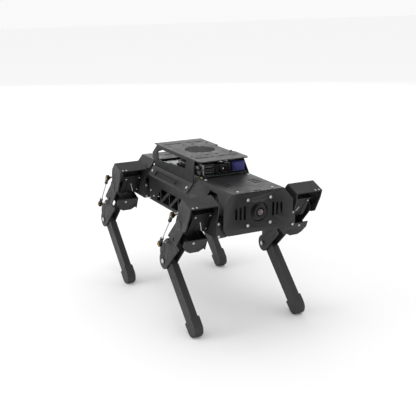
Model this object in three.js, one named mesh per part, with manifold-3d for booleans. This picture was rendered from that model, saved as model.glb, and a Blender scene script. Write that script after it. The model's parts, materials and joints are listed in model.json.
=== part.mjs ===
// Four-legged walking robot: sheet-metal torso with a payload rack, and four legs of three
// servos each.  Millimetres, +Z up, the robot looks along -Y and its left side is +X.
// The origin is on the floor below the middle of the whole robot.

import * as THREE from 'three';
import { mergeVertices } from 'three/addons/utils/BufferGeometryUtils.js';
import { ConvexGeometry } from 'three/addons/geometries/ConvexGeometry.js';
import Module from 'manifold-3d';

const wasm = await Module();
wasm.setup();

// ---------------------------------------------------------------- driving dimensions
const WHEELBASE = 240;            // front hip axis to rear hip axis
const HIP_AHEAD = 13.4;           // hip axis behind the end of the wheelbase it belongs to
const THIGH = 111.6;              // hip axis to knee axis
const ORIGIN_SHIFT = 40.4;        // middle of the robot behind the middle of the wheelbase
const SHEET = 1.8;                // leg sheet metal
const SKIN = 1.5;                 // torso sheet metal
const GAP = 0.3;                  // between touching pieces

// leg layout across the robot (distance from the middle plane)
const ROLL_X = 52.5;              // hip roll axis
const ROLL_DROP = 6;              // roll axis below the hip pitch axis
const YOKE_IN = 63.2;             // inner face of the inner cheek
const YOKE_OUT = 108;             // outer face of the outer cheek
const UPPER_PLATE = 103.5;        // inner face of the outer thigh plate beside the servos
const LOWER_PLATE = 93.4;         // inner face of the outer thigh plate beside the shank
const UPPER_WEB = 66.7;           // inner thigh plate beside the servo, inner face
const LOWER_WEB = 80;             // inner thigh plate beside the shank, inner face
const SHANK_IN = 82.2;
const SHANK_OUT = 93;
const SERVO_OUT = 96.8;           // outer face of the pitch and knee servo cases
const BALL_TOP_X = 110;           // middle of the upper ball joint
const BALL_LOW_X = 104.7;         // middle of the lower ball joint

// knee linkage: an exact parallelogram, given along the thigh (s, from knee to hip)
// and square to it (n, to the rear)
const CRANK = [28.8, 15.6];       // knee axis to lower ball, and servo axis to upper ball
const KNEE_SERVO = [80, 3.7];     // knee axis to knee servo axis
const SERVO_HALF = 10;            // half the thickness of a servo case
const SERVO_REACH = 30;           // servo axis to the far end of its case
const STUD_R = 1.5;
const BALL_R = 4.6;
const EYE_R = 2;                  // ball housing bore: 0.5 mm free play round the stud
const KNEE_R = 12.9;              // round end of the thigh about the knee

const FOOT_R = 12.2;
const FOOT_CENTRE = [8.2, -116];  // (s, n) of the round of the foot

// torso
const BELLY_Z = 148;
const TOP_Z = 211;
const SHOULDER_Z = 193;           // where the side wall meets the chamfer
const TORSO_X = 57;               // outer face of the side wall
const TOP_X = 42;                 // half width of the flat top
const NOSE_Y = -142.3;            // front face of the front panel
const TAIL_Y = 154;               // rear face of the rear panel
const HEAD_END_Y = -40;           // rear edge of the head cover
const TAIL_START_Y = 103;         // front edge of the tail cover
const CAMERA_Z = 181.8;
const DECK_Z = 236.8;             // top of the payload deck
const DECK_X = 42;
const NOTCH = 6;                     // depth of the notch in the left edge of the deck
const DECK_FRONT_Y = -45.5;
const DECK_REAR_Y = 111;
const FAN_Y = 34.6;
const FAN_R = 25.5;                  // round grille in the deck
const BOARD_Z = 213.2;            // underside of the controller board

// ---------------------------------------------------------------- outlines
const rad = THREE.MathUtils.degToRad;

// points along an arc from angle a0 to a1, in degrees
function arc(cx, cy, r, a0, a1, steps = 8) {
  return Array.from({ length: steps + 1 }, (_, i) => {
    const a = rad(a0 + ((a1 - a0) * i) / steps);
    return [cx + r * Math.cos(a), cy + r * Math.sin(a)];
  });
}

const circle = (cx, cy, r, steps = 16) => arc(cx, cy, r, 0, 360, steps).slice(0, -1);
const rect = (x0, y0, x1, y1) => [[x0, y0], [x1, y0], [x1, y1], [x0, y1]];
const mirrorOutline = (points) => points.map(([x, y]) => [-x, y]).reverse();
const bothSides = (points) => [...points, ...mirrorOutline(points)];

// a straight slot of width w between two points, with round ends
function slot([x0, y0], [x1, y1], w) {
  const a = THREE.MathUtils.radToDeg(Math.atan2(y1 - y0, x1 - x0));
  return [...arc(x1, y1, w / 2, a - 90, a + 90, 4), ...arc(x0, y0, w / 2, a + 90, a + 270, 4)];
}

// a servo case seen along its shaft: a long box with bevelled corners at the shaft end
function servoOutline([cy, cz], [dy, dz]) {
  const at = (reach, side) => [cy + reach * dy - side * dz, cz + reach * dz + side * dy];
  const [half, bevel] = [SERVO_HALF, 2.5];
  return [
    at(SERVO_REACH, -half), at(SERVO_REACH, half),
    at(bevel - half, half), at(-half, half - bevel), at(-half, bevel - half), at(bevel - half, -half),
  ];
}

// ---------------------------------------------------------------- solids
function solid(geometry) {
  geometry.deleteAttribute('normal');
  geometry.deleteAttribute('uv');
  const merged = mergeVertices(geometry, 1e-4);
  return new wasm.Manifold(new wasm.Mesh({
    numProp: 3,
    vertProperties: new Float32Array(merged.attributes.position.array),
    triVerts: new Uint32Array(merged.index.array),
  }));
}

function geometryOf(manifold) {
  const mesh = manifold.getMesh();
  const geometry = new THREE.BufferGeometry();
  geometry.setAttribute('position', new THREE.BufferAttribute(mesh.vertProperties, 3));
  geometry.setIndex(new THREE.BufferAttribute(mesh.triVerts, 1));
  return geometry;
}

function prism(points, depth, basis, offset) {
  const shape = new THREE.Shape(points.map(([x, y]) => new THREE.Vector2(x, y)));
  const geometry = new THREE.ExtrudeGeometry(shape, { depth, bevelEnabled: false });
  geometry.applyMatrix4(new THREE.Matrix4().makeBasis(...basis));
  geometry.translate(...offset);
  return solid(geometry);
}

const X = new THREE.Vector3(1, 0, 0);
const Y = new THREE.Vector3(0, 1, 0);
const Z = new THREE.Vector3(0, 0, 1);

// outlines are (y, z) for alongX, (x, z) for alongY and (x, y) for alongZ
const alongX = (points, x0, x1) => prism(points, x1 - x0, [Y, Z, X], [x0, 0, 0]);
const alongY = (points, y0, y1) => prism(points, y1 - y0, [X, Z, Y.clone().negate()], [0, y1, 0]);
const alongZ = (points, z0, z1) => prism(points, z1 - z0, [X, Y, Z], [0, 0, z0]);

const join = (first, ...others) => others.reduce((sum, part) => sum.add(part), first);
const cut = (first, ...others) => others.reduce((rest, part) => rest.subtract(part), first);

// the same shape on the other side of the robot
function mirrored(geometry) {
  const copy = geometry.clone();
  copy.scale(-1, 1, 1);
  const index = copy.index.array;
  for (let i = 0; i < index.length; i += 3) {
    [index[i], index[i + 1]] = [index[i + 1], index[i]];
  }
  return copy;
}

// ---------------------------------------------------------------- materials
const finish = (color, roughness, metalness) => ({ color, roughness, metalness });
const BLACK_SHEET = finish(0x2b2b2d, 0.5, 0.6);
const SERVO_BLACK = finish(0x151515, 0.45, 0);
const RUBBER = finish(0x1c1c1c, 0.85, 0);
const STEEL = finish(0xb9bbbd, 0.3, 1);
const BOARD = finish(0x11301f, 0.6, 0);
const DARK_GLASS = finish(0x101114, 0.1, 0);
const PORT_METAL = finish(0x8a8c8f, 0.4, 0.9);

function piece(name, geometry, look) {
  geometry.computeVertexNormals();
  const mesh = new THREE.Mesh(geometry, new THREE.MeshStandardMaterial(look));
  mesh.name = name;
  return mesh;
}

// ---------------------------------------------------------------- leg
// A leg is drawn for the left side with the hip pitch axis through (y, z) = (0, 0).
const DIAGONAL = Math.SQRT1_2;
const kneePoint = [THIGH * DIAGONAL, -THIGH * DIAGONAL];

// a point given along the thigh (s) and square to it (n), as (y, z)
const onThigh = ([s, n]) => [
  kneePoint[0] + (n - s) * DIAGONAL,
  kneePoint[1] + (n + s) * DIAGONAL,
];
const thighOutline = (points) => points.map(onThigh);
const thighPrism = (points, x0, x1) => alongX(thighOutline(points), x0, x1);
const servoAxis = onThigh(KNEE_SERVO);
const lowerBall = onThigh(CRANK);
const upperBall = onThigh([KNEE_SERVO[0] + CRANK[0], KNEE_SERVO[1] + CRANK[1]]);

const YOKE_TOP = [[-11.4, 41], [-35.3, 31.7]];       // rear and front edge of the strap
const PITCH_SERVO_DIRECTION = [-0.54, 0.8417];
const KNEE_SERVO_DIRECTION = [-0.92, -0.3919];
const ROLL_SERVO_Y = [-23.4, 13.6];
const FLANGE_R = 11.5;                               // yoke flanges, round about the roll axis

function rollServo() {
  const body = [
    [22.5, -SERVO_HALF - ROLL_DROP],
    ...arc(ROLL_X, -ROLL_DROP, SERVO_HALF, -90, 90, 10),
    [22.5, SERVO_HALF - ROLL_DROP],
  ];
  const [front, rear] = ROLL_SERVO_Y;
  return join(
    alongY(body, front, rear),
    alongY(circle(ROLL_X, -ROLL_DROP, 8), front - 4.4, front + 1),
    alongY(circle(ROLL_X, -ROLL_DROP, 6), rear - 1, rear + 2),
  );
}

function yokeFlange(y0, y1) {
  const outer = YOKE_IN + SHEET;
  return alongY([
    [outer, -ROLL_DROP - FLANGE_R],
    [outer, -ROLL_DROP + FLANGE_R],
    ...arc(ROLL_X, -ROLL_DROP, FLANGE_R, 90, 270, 10),
  ], y0, y1);
}

function yoke() {
  const [rearTop, frontTop] = YOKE_TOP;
  const outerCheek = [
    rearTop, frontTop, [-31.4, 19.6], [-19.4, -3.6], [-11.8, -6.4],
    ...arc(0, 0, 8.8, -125, 79, 10), [1.6, 22], [-0.4, 29.6],
  ];
  const innerCheek = [
    rearTop, frontTop, [-34.5, 19], [-29.9, 8], [-29.9, -17.5],
    [17.7, -17.5], [17.7, 2], [-0.4, 29.6],
  ];
  const under = ([y, z]) => [y + 0.36 * SHEET, z - 0.93 * SHEET];
  const strap = [rearTop, frontTop, under(frontTop), under(rearTop)];
  return join(
    alongX(strap, YOKE_IN, YOKE_OUT),
    alongX(outerCheek, YOKE_OUT - SHEET, YOKE_OUT),
    alongX(circle(0, 0, 5.5), YOKE_OUT - SHEET - 0.5, YOKE_OUT + 1),
    alongX(innerCheek, YOKE_IN, YOKE_IN + SHEET),
    yokeFlange(-29.9, -28.1),
    yokeFlange(15.9, 17.7),
  );
}

function pitchServo() {
  return join(
    alongX(servoOutline([0, 0], PITCH_SERVO_DIRECTION), YOKE_IN + SHEET + GAP, SERVO_OUT),
    alongX(circle(0, 0, 8), SERVO_OUT - 1, UPPER_PLATE - GAP),
  );
}

function kneeServo() {
  return alongX(servoOutline(servoAxis, KNEE_SERVO_DIRECTION), UPPER_WEB + SHEET + GAP, SERVO_OUT);
}

// the sloping sheet between an upper and a lower plate: one four-sided block
function joggle(upper, lower, xUpper, xLower) {
  const corners = [];
  for (const [edge, x] of [[upper, xUpper], [lower, xLower]]) {
    for (const [y, z] of thighOutline(edge)) {
      for (const xx of [x, x + SHEET]) corners.push(new THREE.Vector3(xx, y, z));
    }
  }
  return solid(new ConvexGeometry(corners));
}

const boltHole = (x0, x1, r = 2.3) => thighPrism(circle(0, 0, r), x0, x1);

function thighOuter() {
  const creaseUp = [[64, 10.6], [76, -13.4]];
  const creaseLow = [[49, 13.6], [59, -13.4]];
  const upper = [
    creaseUp[1], [THIGH, -11.5], ...arc(THIGH, 0, 11.5, -90, 90, 12).slice(1),
    [102, 10.6], creaseUp[0],
  ];
  const lower = [
    creaseLow[1], creaseLow[0], [40, 13.9], [36.5, 12], [35.5, 8], [20, 8],
    ...arc(0, 0, KNEE_R, 65, 270, 14),
  ];
  return cut(
    join(
      thighPrism(upper, UPPER_PLATE, UPPER_PLATE + SHEET),
      joggle(creaseUp, creaseLow, UPPER_PLATE, LOWER_PLATE),
      thighPrism(lower, LOWER_PLATE, LOWER_PLATE + SHEET),
    ),
    boltHole(LOWER_PLATE - 1, LOWER_PLATE + SHEET + 1),
    thighPrism(circle(77.5, -3.8, 3), UPPER_PLATE - 1, UPPER_PLATE + SHEET + 1),
  );
}

// a point of the knee servo: reach along its case from the shaft, and side square to that
function onKneeServo(reach, side) {
  const [y, z] = servoAxis;
  const [dy, dz] = KNEE_SERVO_DIRECTION;
  return [y + reach * dy - side * dz, z + reach * dz + side * dy];
}

// plate across the far end of the knee servo, narrowing to its lower edge
function servoEndPlate(near) {
  const outline = [
    [UPPER_WEB, -10.5], [UPPER_WEB, 1], [70, 7], [77, 12], [91, 12], [97, 8],
    [UPPER_PLATE - GAP, -1], [UPPER_PLATE - GAP, -10.5],
  ];
  const corners = [];
  for (const [x, side] of outline) {
    for (const reach of [near, near + SHEET]) {
      corners.push(new THREE.Vector3(x, ...onKneeServo(reach, side)));
    }
  }
  return solid(new ConvexGeometry(corners));
}

function thighInner() {
  const creaseUp = [[67.4, 12], [67.4, -11]];
  const creaseLow = [[50, 9], [50, -11]];
  const upper = [creaseUp[1], [88, -15], [93, -6], [93, 8], [88, 13], creaseUp[0]];
  const lower = [creaseLow[1], creaseLow[0], [20, 8], ...arc(0, 0, KNEE_R, 65, 270, 14)];
  const near = SERVO_REACH + GAP;
  const arm = alongX([onKneeServo(8, -9.6), onKneeServo(near + SHEET, -9.6),
    onKneeServo(near + SHEET, 9.6), onKneeServo(8, 9.6)], UPPER_WEB, UPPER_WEB + SHEET);
  return cut(
    join(
      thighPrism(upper, UPPER_WEB, UPPER_WEB + SHEET),
      arm,
      servoEndPlate(near),
      joggle(creaseUp, creaseLow, UPPER_WEB, LOWER_WEB),
      thighPrism(lower, LOWER_WEB, LOWER_WEB + SHEET),
    ),
    boltHole(LOWER_WEB - 1, LOWER_WEB + SHEET + 1),
  );
}

// an arm with a round hub and a round tip
function linkOutline([hy, hz], hubR, [ty, tz], tipR) {
  const a = THREE.MathUtils.radToDeg(Math.atan2(tz - hz, ty - hy));
  return [...arc(ty, tz, tipR, a - 80, a + 80, 8), ...arc(hy, hz, hubR, a + 100, a + 260, 10)];
}

function kneeCrank() {
  const inside = SERVO_OUT + GAP;
  return join(
    alongX(linkOutline(servoAxis, 7, upperBall, 3.8), inside, inside + 3),
    alongX(circle(...servoAxis, 6.5), inside + 2, UPPER_PLATE - 0.8),
    alongX(circle(...upperBall, STUD_R, 10), inside + 2, BALL_TOP_X + 3.6),
  );
}

// ball housing with its neck, about a point of the rod; toward is +1 or -1 along the rod
function rodEnd([y, z], x, toward) {
  const reach = toward * 14 * DIAGONAL;
  const neck = linkOutline([y, z], 3.2, [y + reach, z - reach], 2.6);
  return join(
    alongX(circle(y, z, BALL_R), x - 2.6, x + 2.6),
    alongX(neck, x - 1.9, x + 1.9),
  );
}

function pushRod() {
  const from = new THREE.Vector3(BALL_TOP_X, ...upperBall);
  const to = new THREE.Vector3(BALL_LOW_X, ...lowerBall);
  const span = to.clone().sub(from);
  const inset = span.clone().normalize().multiplyScalar(BALL_R + 4);
  const bar = new THREE.CylinderGeometry(1.25, 1.25, span.length() - 2 * inset.length(), 10);
  bar.applyQuaternion(new THREE.Quaternion().setFromUnitVectors(Y, span.clone().normalize()));
  const middle = from.clone().add(to).multiplyScalar(0.5);
  bar.translate(middle.x, middle.y, middle.z);
  return cut(
    join(solid(bar), rodEnd(upperBall, BALL_TOP_X, 1), rodEnd(lowerBall, BALL_LOW_X, -1)),
    alongX(circle(...upperBall, EYE_R, 12), BALL_TOP_X - 4, BALL_TOP_X + 4),
    alongX(circle(...lowerBall, EYE_R, 12), BALL_LOW_X - 4, BALL_LOW_X + 4),
  );
}

const SHANK_EDGE = [-2, 19];                         // rear and front edge of the bar, along s
const SHANK_END = -112;                              // n of its lower end, inside the foot

function shank() {
  const [rearEdge, frontEdge] = SHANK_EDGE;
  const bar = [
    [rearEdge, SHANK_END], [frontEdge, SHANK_END], [frontEdge, -17], [12, -4],
    ...arc(0, 0, KNEE_R, 0, 260, 16),
  ];
  const lobe = [
    [12, -4], [34, 12.5], ...arc(...CRANK, 6.2, -25, 90, 6),
    [8, 23.5], [0.4, 22.2], [-5, 17], [-10, 8], [-11, -3],
  ];
  return cut(
    join(
      thighPrism(bar, SHANK_IN, SHANK_OUT),
      thighPrism(lobe, SHANK_OUT - 5, SHANK_OUT),
      alongX(circle(...lowerBall, STUD_R, 10), SHANK_OUT - 1, BALL_LOW_X + 3.6),
    ),
    boltHole(SHANK_IN - 1, SHANK_OUT + 1, 2.5),
  );
}

function foot() {
  const [s, n] = FOOT_CENTRE;
  const [rearEdge, frontEdge] = SHANK_EDGE;
  const wall = 1.4;
  const boot = [[s + FOOT_R, -102], [s - FOOT_R, -102], ...arc(s, n, FOOT_R, 180, 360, 16)];
  const pocket = rect(rearEdge - GAP, SHANK_END - GAP, frontEdge + GAP, -100);
  return cut(
    thighPrism(boot, SHANK_IN - GAP - wall, SHANK_OUT + GAP + wall),
    thighPrism(pocket, SHANK_IN - GAP, SHANK_OUT + GAP),
  );
}

function kneeBolt() {
  return join(
    thighPrism(circle(0, 0, 2, 12), 77.6, 97),
    thighPrism(circle(0, 0, 3.6, 12), LOWER_PLATE + SHEET + GAP, 98.4),
    thighPrism(circle(0, 0, 3.6, 6), 76.8, LOWER_WEB - GAP),
  );
}

const LEG_PIECES = [
  ['roll_servo', rollServo, SERVO_BLACK],
  ['yoke', yoke, BLACK_SHEET],
  ['pitch_servo', pitchServo, SERVO_BLACK],
  ['knee_servo', kneeServo, SERVO_BLACK],
  ['thigh_outer', thighOuter, BLACK_SHEET],
  ['thigh_inner', thighInner, BLACK_SHEET],
  ['knee_crank', kneeCrank, BLACK_SHEET],
  ['push_rod', pushRod, STEEL],
  ['shank', shank, BLACK_SHEET],
  ['foot', foot, RUBBER],
  ['knee_bolt', kneeBolt, STEEL],
].map(([name, make, look]) => [name, geometryOf(make()), look]);

// height of the hip axis that stands the feet on the floor
const HIP_Z = FOOT_R - onThigh(FOOT_CENTRE)[1];

function leg(corner, atRear, onLeft) {
  const group = new THREE.Group();
  for (const [name, geometry, look] of LEG_PIECES) {
    const shape = onLeft ? geometry.clone() : mirrored(geometry);
    group.add(piece(`${corner}_${name}`, shape, look));
  }
  const hipY = HIP_AHEAD + (atRear ? WHEELBASE : -WHEELBASE) / 2;
  group.position.set(0, hipY, HIP_Z);
  return group;
}

// ---------------------------------------------------------------- torso
// chamfered arch of the covers, drawn at a distance inside the outer face
function coverOutline(inset, topX, shoulderZ, bottom) {
  const run = TORSO_X - topX;
  const rise = TOP_Z - shoulderZ;
  const slant = Math.hypot(run, rise);
  const topCorner = topX - (inset * (slant - run)) / rise;
  const sideCorner = shoulderZ - (inset * (slant - rise)) / run;
  return bothSides([
    [TORSO_X - inset, bottom], [TORSO_X - inset, sideCorner], [topCorner, TOP_Z - inset],
  ]);
}

function cover(topX, shoulderZ, y0, y1) {
  return cut(
    alongY(coverOutline(0, topX, shoulderZ, BELLY_Z + 2), y0, y1),
    alongY(coverOutline(SKIN, topX, shoulderZ, BELLY_Z), y0 - 1, y1 + 1),
  );
}

const holeThroughTop = (points) => alongZ(points, TOP_Z - 4, TOP_Z + 2);

function headCover() {
  // side openings for the hip yokes
  const yokeArch = [[-145, 140], [-86, 140], [-86, 206], [-106, 204.6], [-127.8, 195.6],
    [-145, 190]];
  const ventSlots = [];
  for (const x of [-24, 24]) {
    for (const y of [-98, -90, -82]) ventSlots.push(holeThroughTop(slot([x - 5, y], [x + 5, y], 3)));
  }
  return cut(
    cover(TOP_X, SHOULDER_Z, NOSE_Y + SKIN + GAP, HEAD_END_Y),
    alongX(yokeArch, 46, 60),
    alongX(yokeArch, -60, -46),
    holeThroughTop(slot([-5, -136], [5, -136], 3)),
    ...ventSlots,
  );
}

function tailCover() {
  const yokeArch = [[TAIL_START_Y - 1, 140], [TAIL_Y + 2, 140], [TAIL_Y + 2, 190], [112.2, 195.6],
    [TAIL_START_Y - 1, 199]];
  return cut(
    cover(46, 197, TAIL_START_Y, TAIL_Y - SKIN - GAP),
    alongX(yokeArch, 50, 60),
    alongX(yokeArch, -60, -50),
    holeThroughTop(slot([-14, 130], [14, 130], 4)),
  );
}

// end panel of the torso: two low ears along its top, lower corners cut off
const END_PANEL = bothSides([
  [49.6, 152.5], [56.8, 161.5], [56.8, 193.3], [41.5, 210.4], [37.9, 210.4], [35, 209.6],
]);

function panelSlots(y0, y1) {
  const cuts = [];
  for (const side of [-1, 1]) {
    [23.3, 30.1, 37].forEach((x, i) => {
      cuts.push(alongY(slot([side * x, 174 + i], [side * x, 191.5 - 1.2 * i], 3.4), y0, y1));
    });
  }
  return cuts;
}

function frontPanel() {
  const [y0, y1] = [NOSE_Y, NOSE_Y + SKIN];
  const screwHoles = [];
  for (const x of [-18.4, 18.4]) {
    for (const z of [163.8, 200.6]) screwHoles.push(alongY(circle(x, z, 1.6, 10), y0 - 1, y1 + 1));
  }
  return cut(
    alongY(END_PANEL, y0, y1),
    alongY(circle(0, CAMERA_Z, 14, 28), y0 - 1, y1 + 1),
    ...panelSlots(y0 - 1, y1 + 1),
    ...screwHoles,
  );
}

function rearPanel() {
  const [y0, y1] = [TAIL_Y - SKIN, TAIL_Y];
  return cut(
    alongY(END_PANEL, y0, y1),
    ...panelSlots(y0 - 1, y1 + 1),
    alongY(circle(0, 176, 6.5, 20), y0 - 1, y1 + 1),
  );
}

function cameraModule() {
  const back = NOSE_Y + SKIN + GAP;
  return join(
    alongY(rect(-14.5, CAMERA_Z - 14.5, 14.5, CAMERA_Z + 14.5), back + 2.5, back + 5),
    alongY(circle(0, CAMERA_Z, 13, 28), back - 1, back + 3),
    alongY(circle(0, CAMERA_Z, 10, 28), NOSE_Y - 4.7, back),
  );
}

// side wall with a row of triangular openings, folded in along its top
function sideTruss() {
  const inset = TOP_X + 8;
  const chamferZ = SHOULDER_Z + ((TORSO_X - inset) * (TOP_Z - SHOULDER_Z)) / (TORSO_X - TOP_X);
  const section = [
    [TORSO_X, BELLY_Z], [TORSO_X, SHOULDER_Z], [inset, chamferZ],
    [inset - 1.1, chamferZ - 1.05], [TORSO_X - SKIN, SHOULDER_Z - 0.5], [TORSO_X - SKIN, BELLY_Z],
  ];
  const triangles = [];
  const pitch = 31;
  const [low, high] = [153.5, 174.5];
  for (let i = 0; i < 3; i += 1) {
    const [front, rear] = [-33.7 + i * pitch + 1.5, -33.7 + (i + 1) * pitch - 1.5];
    triangles.push([[front, low], [rear - 4.5, low], [front, high - 3]]);
    triangles.push([[rear, high], [front + 4.5, high], [rear, low + 3]]);
  }
  triangles.push([[60.8, low], [76, low], [60.8, high - 3]]);
  return cut(
    alongY(section, HEAD_END_Y + GAP, TAIL_START_Y - GAP),
    ...triangles.map((points) => alongX(points, TORSO_X - 4, TORSO_X + 2)),
  );
}

function bottomTray() {
  const outline = bothSides([
    [38, -122], [38, -84], [55, -80], [55, 98], [38, 102], [38, TAIL_Y - SKIN - GAP],
  ]);
  return alongZ(outline, BELLY_Z, BELLY_Z + SKIN);
}

function midPlate() {
  return alongZ(rect(-47, HEAD_END_Y + GAP, 47, TAIL_START_Y - GAP), 197.5, 199);
}

function batteryPack() {
  return alongZ(rect(-30, -62, 30, 72), BELLY_Z + SKIN + GAP, 184);
}

function controllerBoard() {
  return alongZ(rect(-39, -46, 37, 62), BOARD_Z, BOARD_Z + SKIN);
}

function portBlocks() {
  const base = BOARD_Z + SKIN + GAP;
  const front = -45.5;
  return join(
    alongZ(rect(-37, front + 1, 37, front + 12), base, base + 2),
    alongZ(rect(-36, front, -18, front + 20), base, 232),
    alongZ(rect(-15.5, front, 10.5, front + 14), base, 231.5),
    alongZ(rect(14, front, 36, front + 17), base, 231),
  );
}

function coolingFan() {
  const base = BOARD_Z + SKIN + GAP;
  const half = 23;
  return cut(
    alongZ(rect(-half, FAN_Y - half, half, FAN_Y + half), base, 233),
    alongZ(circle(0, FAN_Y, 21, 24), 226, 234),
  );
}

// one opening of the round grille: a strip that bows to the rear in the middle
function grilleSlot(offset) {
  const [halfWidth, bow, steps] = [1.8, 3, 8];
  const reach = Math.sqrt(FAN_R ** 2 - (Math.abs(offset) + halfWidth) ** 2) - 1;
  const edge = (shift) => {
    const points = [];
    for (let i = 0; i <= steps; i += 1) {
      const x = reach * ((2 * i) / steps - 1);
      points.push([x, FAN_Y + offset + shift + bow * (1 - (x / FAN_R) ** 2) - bow / 2]);
    }
    return points;
  };
  return [...edge(-halfWidth), ...edge(halfWidth).reverse()];
}

function rackDeck() {
  const outline = [
    [-DECK_X, DECK_REAR_Y], [-DECK_X, -40], [-DECK_X + 3, DECK_FRONT_Y], [DECK_X - 3, DECK_FRONT_Y],
    [DECK_X, -40], [DECK_X, -3], [DECK_X - NOTCH, 6], [DECK_X - NOTCH, 50.5], [DECK_X, 52],
    [DECK_X, DECK_REAR_Y],
  ];
  const openings = [];
  for (const side of [-1, 1]) {
    for (const y of [-20, 89]) openings.push(slot([side * 6.5, y], [side * 35, y], 3));
    for (const y of [-4, 74.5]) {
      for (const x of [8.5, 34]) openings.push(slot([side * x - 1.6, y], [side * x + 1.6, y], 2.6));
    }
  }
  for (let i = -4; i <= 4; i += 1) openings.push(grilleSlot(i * 5.4));
  return cut(
    alongZ(outline, DECK_Z - SKIN, DECK_Z),
    ...openings.map((points) => alongZ(points, DECK_Z - 3, DECK_Z + 1)),
  );
}

// side of the rack: a leaning panel with a window, and a foot that lies on the side chamfer
const WING_FOOT = [50, 202.6];
const WING_TOP_X = 41.9;
const WING_REAR_Y = 97.4;             // rear end of the foot, just ahead of the rear yoke

function rackWing() {
  const [footX, footZ] = WING_FOOT;
  const top = DECK_Z - SKIN - GAP;
  const panel = [[-37, footZ], [-27, top], [103, top], [113, 222], [109, 214],
    [WING_REAR_Y, 210], [WING_REAR_Y, footZ]];
  const window = [[-4, 219.5], [-3, 231.3], [81, 231.3], [95, 226], [90, 217], [84, 214.6],
    [66, 215.2], [20, 218.8]];
  const lean = (WING_TOP_X - footX) / (top - footZ);
  const shear = new THREE.Matrix4().set(1, 0, lean, -lean * footZ, 0, 1, 0, 0, 0, 0, 1, 0, 0, 0, 0, 1);
  const upright = cut(alongX(panel, footX - SKIN, footX), alongX(window, footX - 3, footX + 2));
  const slanted = geometryOf(upright).applyMatrix4(shear);

  // across the chamfer: down its slope, and square to it
  const slope = new THREE.Vector2(TORSO_X - TOP_X, SHOULDER_Z - TOP_Z).normalize();
  const onChamfer = (down, out) => [
    TOP_X + slope.x * down - slope.y * out,
    TOP_Z + slope.y * down + slope.x * out,
  ];
  const flange = alongY([onChamfer(10.4, 0.4), onChamfer(28.5, 0.4), onChamfer(28.5, 0.4 + SKIN),
    onChamfer(10.4, 0.4 + SKIN)], -38, WING_REAR_Y);
  const longSlot = alongY([onChamfer(17.5, -1), onChamfer(24, -1), onChamfer(24, 4), onChamfer(17.5, 4)],
    -4, 76);
  return join(solid(slanted), cut(flange, longSlot));
}

function torso() {
  const group = new THREE.Group();
  const add = (name, shape, look) => group.add(piece(name, geometryOf(shape), look));
  add('bottom_tray', bottomTray(), BLACK_SHEET);
  add('mid_plate', midPlate(), BLACK_SHEET);
  add('head_cover', headCover(), BLACK_SHEET);
  add('tail_cover', tailCover(), BLACK_SHEET);
  add('front_panel', frontPanel(), BLACK_SHEET);
  add('rear_panel', rearPanel(), BLACK_SHEET);
  add('camera_module', cameraModule(), DARK_GLASS);
  add('battery_pack', batteryPack(), SERVO_BLACK);
  add('controller_board', controllerBoard(), BOARD);
  add('port_blocks', portBlocks(), PORT_METAL);
  add('cooling_fan', coolingFan(), SERVO_BLACK);
  add('rack_deck', rackDeck(), BLACK_SHEET);
  for (const [name, make] of [['side_truss', sideTruss], ['rack_wing', rackWing]]) {
    const geometry = geometryOf(make());
    group.add(piece(`${name}_right`, mirrored(geometry), BLACK_SHEET));
    group.add(piece(`${name}_left`, geometry, BLACK_SHEET));
  }
  return group;
}

// ---------------------------------------------------------------- the robot
const robot = new THREE.Group();
robot.add(torso());
for (const atRear of [false, true]) {
  for (const onLeft of [true, false]) {
    robot.add(leg(`${atRear ? 'rear' : 'front'}_${onLeft ? 'left' : 'right'}`, atRear, onLeft));
  }
}
robot.position.y = -ORIGIN_SHIFT;
robot.updateMatrixWorld(true);

export default robot;
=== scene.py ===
"""Looks of the four-legged robot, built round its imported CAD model.

Shapes are drawn in millimetres and turned into metres when they become pieces.
"""

import json
import math

import bmesh
import bpy
from mathutils import Matrix, Vector


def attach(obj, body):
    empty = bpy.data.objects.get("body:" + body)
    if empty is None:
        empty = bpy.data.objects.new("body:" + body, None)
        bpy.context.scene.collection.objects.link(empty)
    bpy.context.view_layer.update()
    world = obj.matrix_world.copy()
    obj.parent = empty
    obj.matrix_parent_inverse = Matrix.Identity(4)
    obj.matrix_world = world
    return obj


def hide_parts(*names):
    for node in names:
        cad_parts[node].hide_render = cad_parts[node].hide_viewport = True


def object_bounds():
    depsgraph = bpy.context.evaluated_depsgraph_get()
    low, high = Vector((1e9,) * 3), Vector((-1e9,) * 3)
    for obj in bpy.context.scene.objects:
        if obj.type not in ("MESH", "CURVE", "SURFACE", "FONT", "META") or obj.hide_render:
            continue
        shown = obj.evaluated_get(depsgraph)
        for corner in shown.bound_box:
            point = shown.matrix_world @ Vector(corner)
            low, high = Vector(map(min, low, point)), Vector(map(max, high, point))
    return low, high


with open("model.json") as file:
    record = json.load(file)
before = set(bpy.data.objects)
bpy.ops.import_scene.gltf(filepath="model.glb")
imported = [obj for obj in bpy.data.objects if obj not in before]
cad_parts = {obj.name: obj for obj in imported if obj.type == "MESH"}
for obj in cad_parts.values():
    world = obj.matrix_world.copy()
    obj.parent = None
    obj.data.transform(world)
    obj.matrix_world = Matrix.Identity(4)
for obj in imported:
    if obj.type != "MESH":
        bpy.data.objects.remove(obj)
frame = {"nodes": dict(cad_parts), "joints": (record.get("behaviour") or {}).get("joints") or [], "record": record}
CAD_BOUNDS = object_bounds()

MM = 0.001
AXIS_X, AXIS_Y, AXIS_Z = Vector((1, 0, 0)), Vector((0, 1, 0)), Vector((0, 0, 1))
CORNERS = ("front_left", "front_right", "rear_left", "rear_right")
JOINTS = {joint["name"]: joint for joint in frame["joints"]}


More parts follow.
